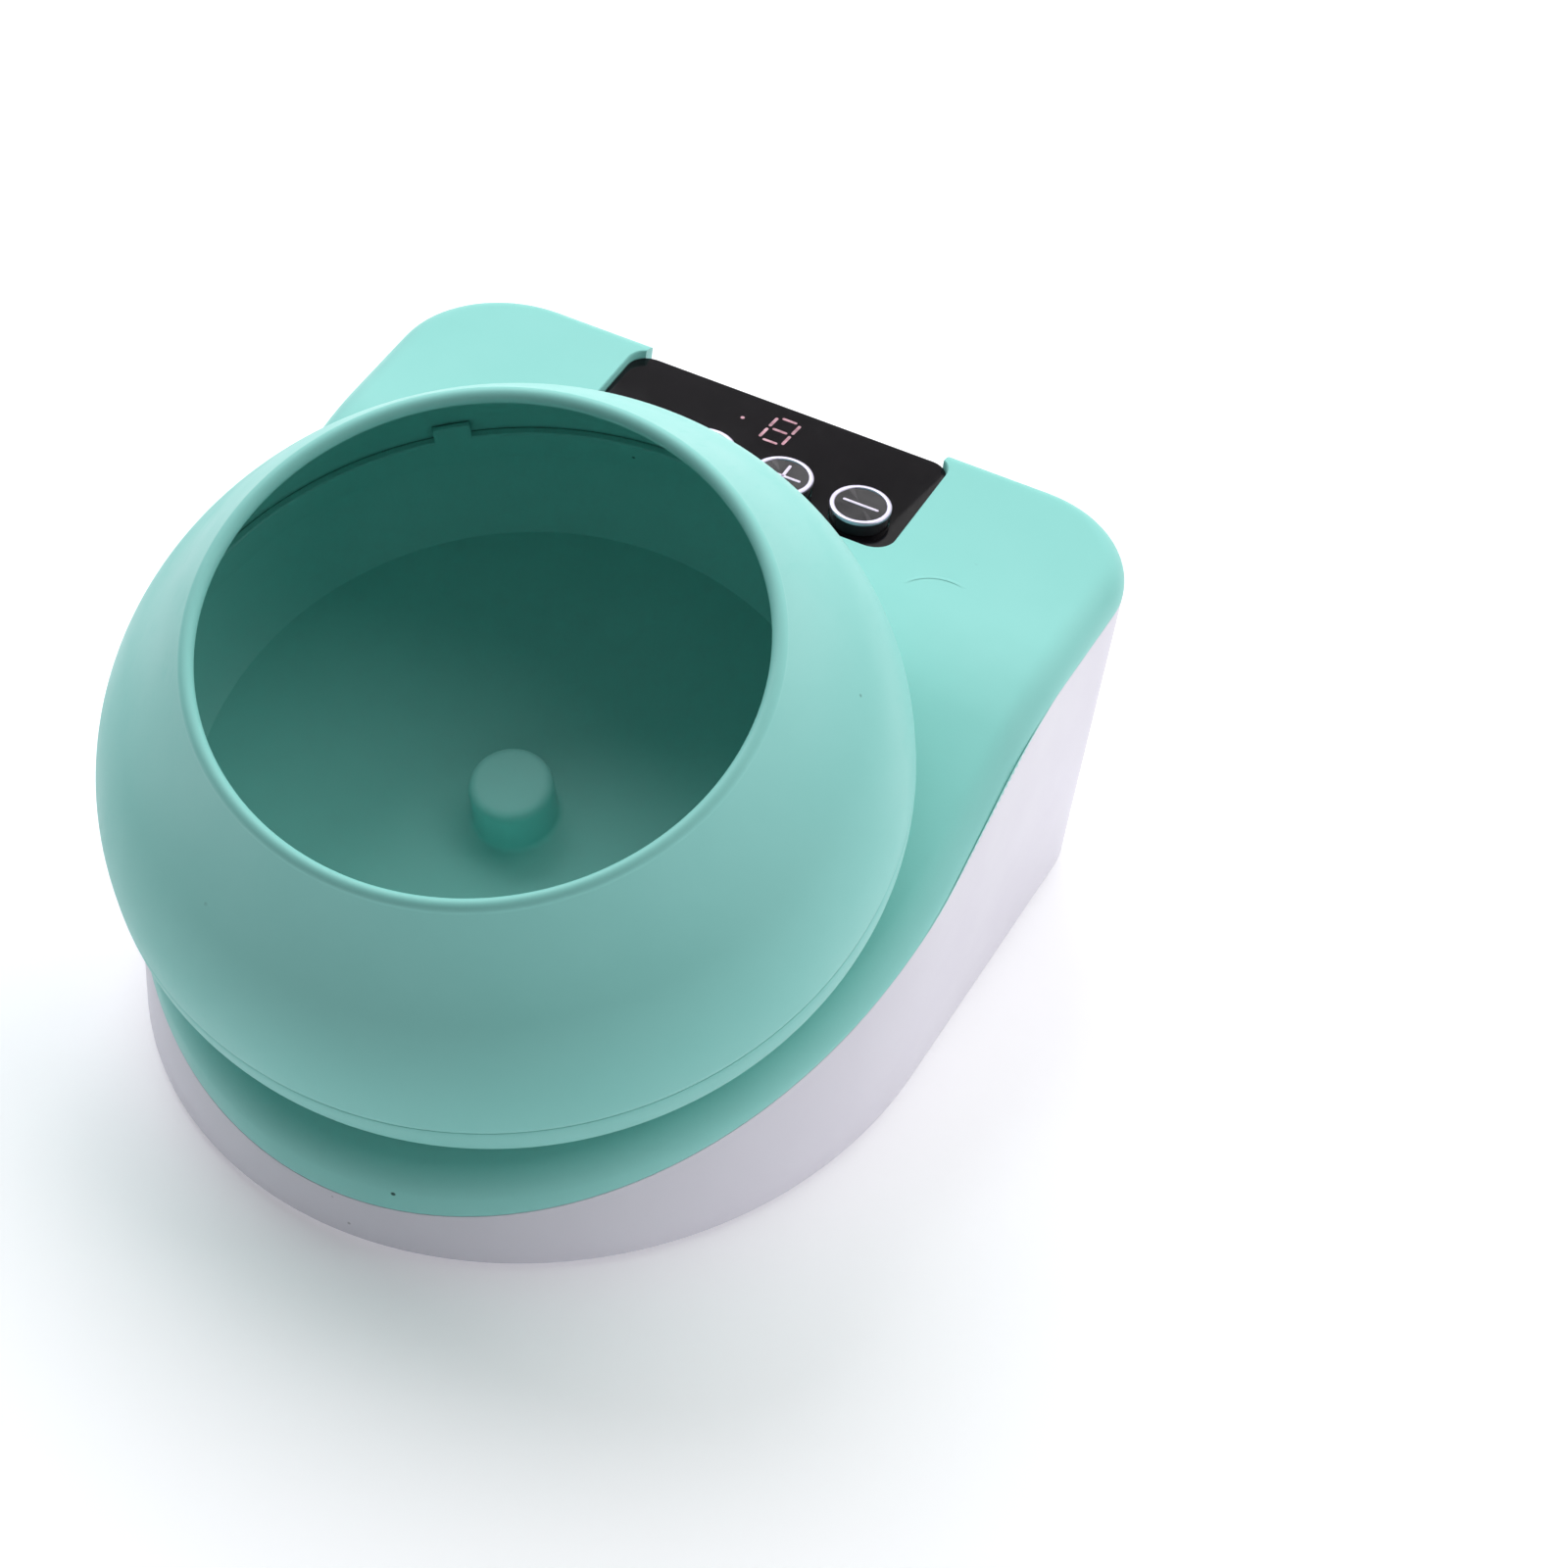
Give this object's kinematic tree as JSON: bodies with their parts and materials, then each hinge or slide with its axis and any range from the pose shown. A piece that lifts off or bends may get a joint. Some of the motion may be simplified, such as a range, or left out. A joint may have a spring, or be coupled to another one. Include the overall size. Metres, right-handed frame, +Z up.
{
  "type": "bead spinner",
  "caption": "Electric bead spinner: a forward-leaning rimmed bowl with a central post turns on a wedge-shaped two-part case with a push-button panel on its rear deck.",
  "frame": {"origin": "on the table under the middle of the whole object's length and width", "axes": "+Z up, -Y the front where the bowl leans forward over the case's round end, +Y the rear with the panel and the power inlet, X across"},
  "size_m": [0.1558, 0.2024, 0.1323],
  "materials": {
    "mint": "satin moulded plastic",
    "white": "satin moulded plastic",
    "window": "polished smoked window",
    "button": "polished black",
    "ring": "plated",
    "print": "light inlaid plastic",
    "lit": "translucent lit light guide",
    "foot": "soft rubber",
    "board": "lacquered circuit board",
    "module": "moulded display body",
    "black": "moulded black plastic",
    "steel": "zinc-plated steel",
    "shaft": "ground steel",
    "bronze": "sintered bronze",
    "nylon": "natural nylon",
    "washer": "fibre washer",
    "spring_steel": "blackened spring steel",
    "wire": "vinyl insulation"
  },
  "bodies": {
    "case": {"base_shell": "white", "top_cover": "mint", "case_screws": "steel", "foot_front_left": "foot", "foot_front_right": "foot", "foot_rear_left": "foot", "foot_rear_right": "foot", "panel_window": "window", "display_segments": "lit", "indicator_lens": "lit", "power_switch": "steel", "mode_switch": "steel", "plus_switch": "steel", "minus_switch": "steel", "control_board": "board", "board_screws": "steel", "display_module": "module", "indicator_led": "lit", "driver_chip": "black", "motor_connector": "nylon", "power_connector": "nylon", "drive_plate": "steel", "plate_screws": "steel", "bearing_housing": "black", "housing_screws": "steel", "upper_bushing": "bronze", "lower_bushing": "bronze", "motor_can": "steel", "motor_end_cap": "black", "motor_screws": "steel", "thrust_washer": "washer", "power_inlet": "black", "inlet_nut": "steel", "motor_lead": "wire", "power_lead": "wire"},
    "bowl_drive": {"spindle": "shaft", "spindle_gear": "nylon", "drive_hub": "white", "retaining_clip": "spring_steel"},
    "motor_rotor": {"motor_shaft": "shaft", "pinion": "nylon"},
    "pan": {"bowl_pan": "mint"},
    "hood": {"bowl_hood": "mint"},
    "power_key": {"power_button": "button", "power_ring": "ring", "power_sign": "print", "power_plunger": "black"},
    "mode_key": {"mode_button": "button", "mode_ring": "ring", "mode_sign": "print", "mode_plunger": "black"},
    "plus_key": {"plus_button": "button", "plus_ring": "ring", "plus_sign": "print", "plus_plunger": "black"},
    "minus_key": {"minus_button": "button", "minus_ring": "ring", "minus_sign": "print", "minus_plunger": "black"}
  },
  "joints": [
    {"name": "bowl_spin", "type": "hinge", "parent": "case", "child": "bowl_drive", "pos_m": [0, -0.01055, 0.02637], "axis": [0, -0.3714, 0.9285], "continuous": true},
    {"name": "motor_spin", "type": "hinge", "parent": "case", "child": "motor_rotor", "pos_m": [0, 0.01824, 0.03788], "axis": [0, -0.3714, 0.9285], "continuous": true},
    {"name": "pan_lift", "type": "slide", "parent": "bowl_drive", "child": "pan", "axis": [0, -0.3714, 0.9285], "range_m": [0, 0.03]},
    {"name": "hood_lift", "type": "slide", "parent": "pan", "child": "hood", "axis": [0, -0.3714, 0.9285], "range_m": [0, 0.02]},
    {"name": "power_press", "type": "slide", "parent": "case", "child": "power_key", "axis": [0, 0, -1], "range_m": [0, 0.0005], "stiffness_N_per_m": 1000, "springref_m": -0.0005},
    {"name": "mode_press", "type": "slide", "parent": "case", "child": "mode_key", "axis": [0, 0, -1], "range_m": [0, 0.0005], "stiffness_N_per_m": 1000, "springref_m": -0.0005},
    {"name": "plus_press", "type": "slide", "parent": "case", "child": "plus_key", "axis": [0, 0, -1], "range_m": [0, 0.0005], "stiffness_N_per_m": 1000, "springref_m": -0.0005},
    {"name": "minus_press", "type": "slide", "parent": "case", "child": "minus_key", "axis": [0, 0, -1], "range_m": [0, 0.0005], "stiffness_N_per_m": 1000, "springref_m": -0.0005}
  ],
  "couplings": [
    {"joint": "motor_spin", "follows": "bowl_spin", "ratio": -3.4286}
  ]
}
